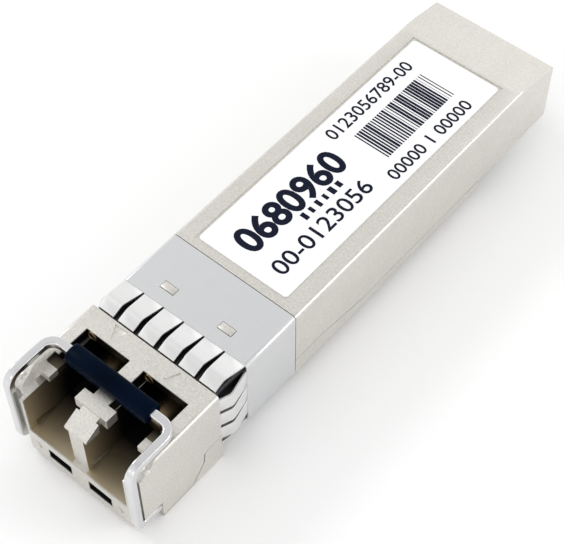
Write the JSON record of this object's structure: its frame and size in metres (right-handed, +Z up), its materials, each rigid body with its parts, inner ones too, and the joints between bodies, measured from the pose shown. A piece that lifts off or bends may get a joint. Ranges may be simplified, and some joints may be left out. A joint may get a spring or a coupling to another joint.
{
  "type": "optical transceiver module",
  "caption": "Slim pluggable optical transceiver with a duplex receptacle, spring-fingered collar, label recess and hinged wire bail.",
  "frame": {"origin": "bottom centre of the whole module's box, bail included; the nose's underside is at Z = 0", "axes": "+Y from the receptacle to the edge contacts, +Z up through the label, +X to the right seen from the receptacle"},
  "size_m": [0.0144, 0.057, 0.0113],
  "materials": {
    "nickel_casting": "nickel-plated zinc casting, fine satin grain",
    "collar_steel": "plated spring steel sheet, satin",
    "bail_steel": "bright drawn steel wire",
    "sleeve_plastic": "moulded dark blue plastic, satin",
    "label_paper": "white polyester label",
    "board_laminate": "green solder mask",
    "gold": "gold-plated contact",
    "chip_epoxy": "black moulding compound",
    "capacitor_ceramic": "fired ceramic, satin",
    "pad_silicone": "soft filled silicone",
    "gasket_rubber": "conductive elastomer",
    "clamp_plastic": "glass-filled plastic",
    "barrel_steel": "turned steel with a light gold flash",
    "zirconia": "polished white ceramic",
    "can_metal": "gold-flashed can",
    "lens_glass": "clear window",
    "flex_film": "amber polyimide film"
  },
  "bodies": {
    "housing": {"upper_housing": "nickel_casting", "lower_housing": "nickel_casting", "emi_collar": "collar_steel", "latch_pin": "bail_steel", "latch_spring": "collar_steel", "label": "label_paper", "circuit_board": "board_laminate", "edge_contacts": "gold", "laser_driver": "chip_epoxy", "receive_amplifier": "chip_epoxy", "controller_chip": "chip_epoxy", "chip_capacitors": "capacitor_ceramic", "thermal_pad": "pad_silicone", "optics_gasket": "gasket_rubber", "optics_clamp": "clamp_plastic", "transmitter_barrel": "barrel_steel", "transmitter_ferrule_sleeve": "zirconia", "transmitter_can": "can_metal", "transmitter_window": "lens_glass", "transmitter_diode": "chip_epoxy", "transmitter_leads": "gold", "transmitter_flex": "flex_film", "receiver_barrel": "barrel_steel", "receiver_ferrule_sleeve": "zirconia", "receiver_can": "can_metal", "receiver_window": "lens_glass", "receiver_diode": "chip_epoxy", "receiver_leads": "gold", "receiver_flex": "flex_film"},
    "bail": {"bail_wire": "bail_steel", "bail_sleeve": "sleeve_plastic"},
    "latch": {"latch_lever": "nickel_casting"}
  },
  "joints": [
    {"name": "bail_hinge", "type": "hinge", "parent": "housing", "child": "bail", "pos_m": [0, -0.02606, 0.00195], "axis": [1, 0, 0], "range_deg": [0, 90]},
    {"name": "latch_rocker", "type": "hinge", "parent": "housing", "child": "latch", "pos_m": [0, -0.02141, 0.00165], "axis": [1, 0, 0], "range_deg": [0, 6.5], "deforming": ["latch_spring"]}
  ],
  "couplings": [
    {"joint": "latch_rocker", "follows": "bail_hinge", "ratio": 0.07}
  ]
}
